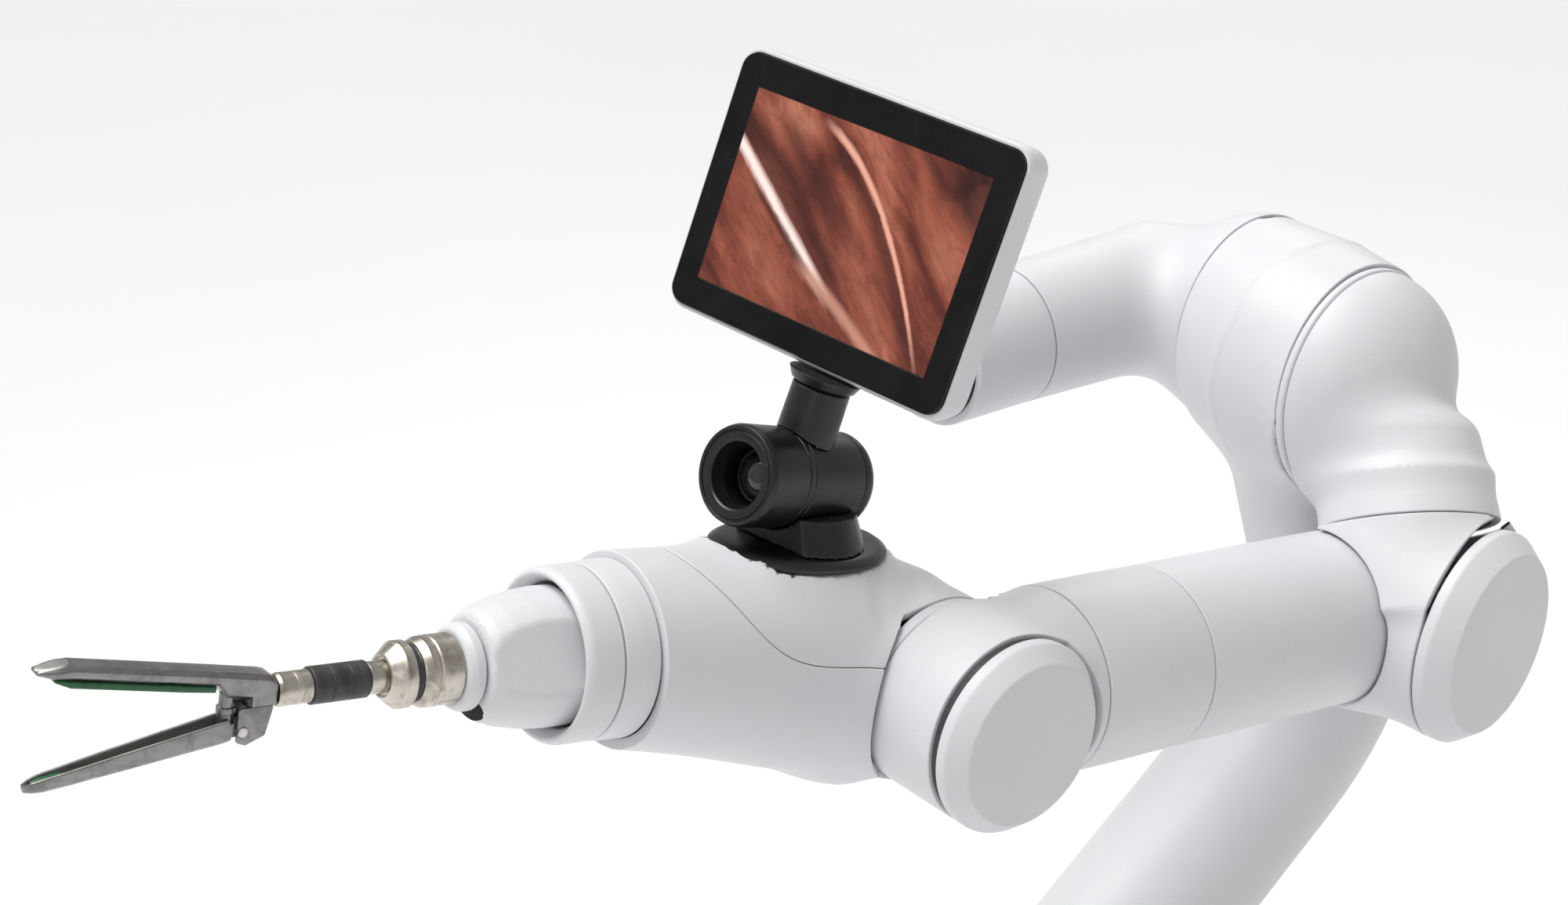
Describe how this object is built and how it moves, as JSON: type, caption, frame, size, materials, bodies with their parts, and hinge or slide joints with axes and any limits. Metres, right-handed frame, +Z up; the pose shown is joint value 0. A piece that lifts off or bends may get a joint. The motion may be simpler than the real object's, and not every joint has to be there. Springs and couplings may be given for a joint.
{
  "type": "desktop robot arm",
  "caption": "Jointed white robot arm on a bolted base, with a clamp-jawed instrument, a small camera and a tilting monitor on its tool head.",
  "frame": {"origin": "centre of the base flange's underside, on the base yaw axis", "axes": "+Z up along the base yaw axis; the arm and its instrument lie in planes parallel to XZ with the instrument pointing to -X; +Y is away from the elbow cap"},
  "size_m": [0.7706, 0.2876, 0.7543],
  "materials": {
    "shell": "satin white powder coat",
    "seal": "matt",
    "drive_metal": "machined",
    "flange_metal": "machined satin",
    "panel_black": "matt",
    "body_black": "satin black",
    "nickel": "worn nickel plate",
    "jaw_steel": "brushed dark steel",
    "sleeve_black": "matt",
    "pad_green": "matt",
    "lens_glass": "polished",
    "front_gloss": "gloss",
    "display": "lit panel",
    "board": "matt"
  },
  "bodies": {
    "base": {"base_flange": "flange_metal", "base_housing": "shell", "base_yaw_drive": "drive_metal", "base_connector_panel": "panel_black"},
    "turret": {"turret_housing": "shell", "turret_cap": "shell", "shoulder_drive": "drive_metal"},
    "lower_arm": {"lower_arm_shell": "shell", "shoulder_cap": "shell", "top_front_drive": "drive_metal", "top_rear_drive": "drive_metal"},
    "rear_link": {"rear_link_shell": "shell", "rear_roll_drive": "drive_metal"},
    "rear_end": {"rear_end_shell": "shell", "rear_flange": "flange_metal"},
    "front_link": {"front_link_shell": "shell", "neck_drive": "drive_metal"},
    "elbow": {"elbow_housing": "shell", "elbow_cap": "shell", "elbow_gearbox": "drive_metal"},
    "forearm": {"forearm_rear_shell": "shell", "forearm_front_shell": "shell", "forearm_roll_drive": "drive_metal", "forearm_wrist_drive": "drive_metal", "wrist_housing": "shell", "wrist_seal_ring": "seal", "wrist_cap": "shell", "wrist_pitch_drive": "drive_metal"},
    "tool_head": {"wrist_output_ring": "shell", "tool_lower_shell": "shell", "tool_upper_shell": "shell", "tool_front_ring": "shell", "tool_nose_bezel": "shell", "instrument_roll_drive": "drive_metal", "camera_plate": "body_black", "camera_saddle": "body_black"},
    "instrument": {"nose_cone": "shell", "nose_collar": "shell", "coupling_body": "nickel", "coupling_nut": "nickel", "shaft_rear": "nickel", "shaft_sleeve": "sleeve_black", "shaft_front": "nickel", "upper_jaw": "jaw_steel", "upper_jaw_pad": "pad_green", "jaw_pin": "nickel"},
    "moving_jaw": {"lower_jaw": "jaw_steel", "lower_jaw_insert": "pad_green", "jaw_strut": "jaw_steel"},
    "camera": {"camera_barrel": "body_black", "camera_rear_cap": "body_black", "camera_lens": "lens_glass", "monitor_stem": "body_black"},
    "focus_ring": {"camera_front_ring": "body_black"},
    "monitor": {"monitor_foot": "body_black", "monitor_front_bezel": "front_gloss", "monitor_display": "display", "monitor_rear_shell": "shell", "monitor_board": "board"}
  },
  "joints": [
    {"name": "base_yaw", "type": "hinge", "parent": "base", "child": "turret", "pos_m": [0, 0, 0.0544], "axis": [0, 0, 1], "range_deg": [-170, 170]},
    {"name": "shoulder_pitch", "type": "hinge", "parent": "turret", "child": "lower_arm", "pos_m": [0, 0, 0.14], "axis": [0, 1, 0], "range_deg": [-40, 12]},
    {"name": "front_link_pitch", "type": "hinge", "parent": "lower_arm", "child": "front_link", "pos_m": [0.255, -0.037, 0.556], "axis": [0, 1, 0], "range_deg": [-12, 20]},
    {"name": "rear_link_pitch", "type": "hinge", "parent": "lower_arm", "child": "rear_link", "pos_m": [0.264, 0.037, 0.566], "axis": [0, 1, 0], "range_deg": [-45, 80]},
    {"name": "rear_end_roll", "type": "hinge", "parent": "rear_link", "child": "rear_end", "pos_m": [0.1395, 0.092, 0.57], "axis": [1, 0, 0], "range_deg": [-180, 180]},
    {"name": "neck_roll", "type": "hinge", "parent": "front_link", "child": "elbow", "pos_m": [0.2355, -0.093, 0.502], "axis": [0.3401, 0.4601, 0.8202], "range_deg": [-10, 10]},
    {"name": "forearm_roll", "type": "hinge", "parent": "elbow", "child": "forearm", "pos_m": [0.19646, -0.084, 0.46276], "axis": [0.9871, 0, -0.1599], "range_deg": [-20, 20]},
    {"name": "wrist_pitch", "type": "hinge", "parent": "forearm", "child": "tool_head", "pos_m": [-0.052, -0.076, 0.501], "axis": [0, 1, 0], "range_deg": [-25, 20]},
    {"name": "instrument_roll", "type": "hinge", "parent": "tool_head", "child": "instrument", "pos_m": [-0.21018, -0.035, 0.55578], "axis": [-0.979, 0, 0.204], "range_deg": [-180, 180]},
    {"name": "jaw_open", "type": "hinge", "parent": "instrument", "child": "moving_jaw", "pos_m": [-0.34332, -0.035, 0.57127], "axis": [0, 1, 0], "range_deg": [-6, 15]},
    {"name": "camera_tilt", "type": "hinge", "parent": "tool_head", "child": "camera", "pos_m": [-0.092, -0.023, 0.592], "axis": [-0.9339, -0.135, 0.331], "range_deg": [-20, 20]},
    {"name": "focus", "type": "hinge", "parent": "camera", "child": "focus_ring", "pos_m": [-0.092, -0.023, 0.592], "axis": [-0.9339, -0.135, 0.331], "range_deg": [-90, 90]},
    {"name": "monitor_swivel", "type": "hinge", "parent": "camera", "child": "monitor", "pos_m": [-0.07818, -0.02591, 0.62985], "axis": [0.342, -0.072, 0.9369], "range_deg": [-60, 60]}
  ]
}
